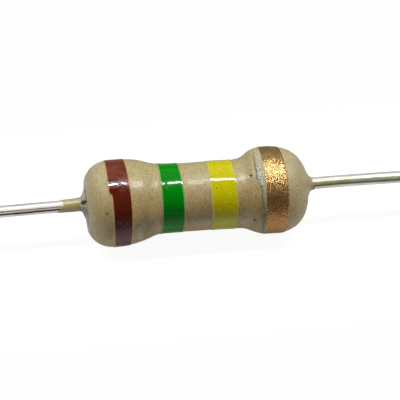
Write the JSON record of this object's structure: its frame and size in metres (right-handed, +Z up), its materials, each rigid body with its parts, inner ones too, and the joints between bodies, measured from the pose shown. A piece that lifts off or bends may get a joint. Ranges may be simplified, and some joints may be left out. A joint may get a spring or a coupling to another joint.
{
  "type": "axial resistor",
  "caption": "Carbon-film axial resistor with a dog-bone lacquer body, painted colour bands and two straight tinned wire leads.",
  "frame": {"origin": "middle of the lacquered body, on the axis of its rod", "axes": "+X along the leads towards the gold band, +Z up, so the front of the body faces -Y"},
  "size_m": [0.0648, 0.0034, 0.0034],
  "materials": {
    "ceramic": "unglazed white alumina",
    "carbon": "dull pyrolytic carbon",
    "cap_steel": "tin-plated pressed steel",
    "tinned_wire": "bright drawn tinned wire",
    "tan_lacquer": "semi-gloss lacquer",
    "brown_paint": "glossy paint",
    "green_paint": "glossy paint",
    "yellow_paint": "glossy paint",
    "gold_paint": "metallic flake paint"
  },
  "bodies": {
    "root": {"ceramic_rod": "ceramic", "carbon_film": "carbon", "left_end_cap": "cap_steel", "right_end_cap": "cap_steel", "left_lead": "tinned_wire", "right_lead": "tinned_wire", "lacquer_coat": "tan_lacquer", "brown_band": "brown_paint", "green_band": "green_paint", "yellow_band": "yellow_paint", "gold_band": "gold_paint"}
  },
  "joints": []
}
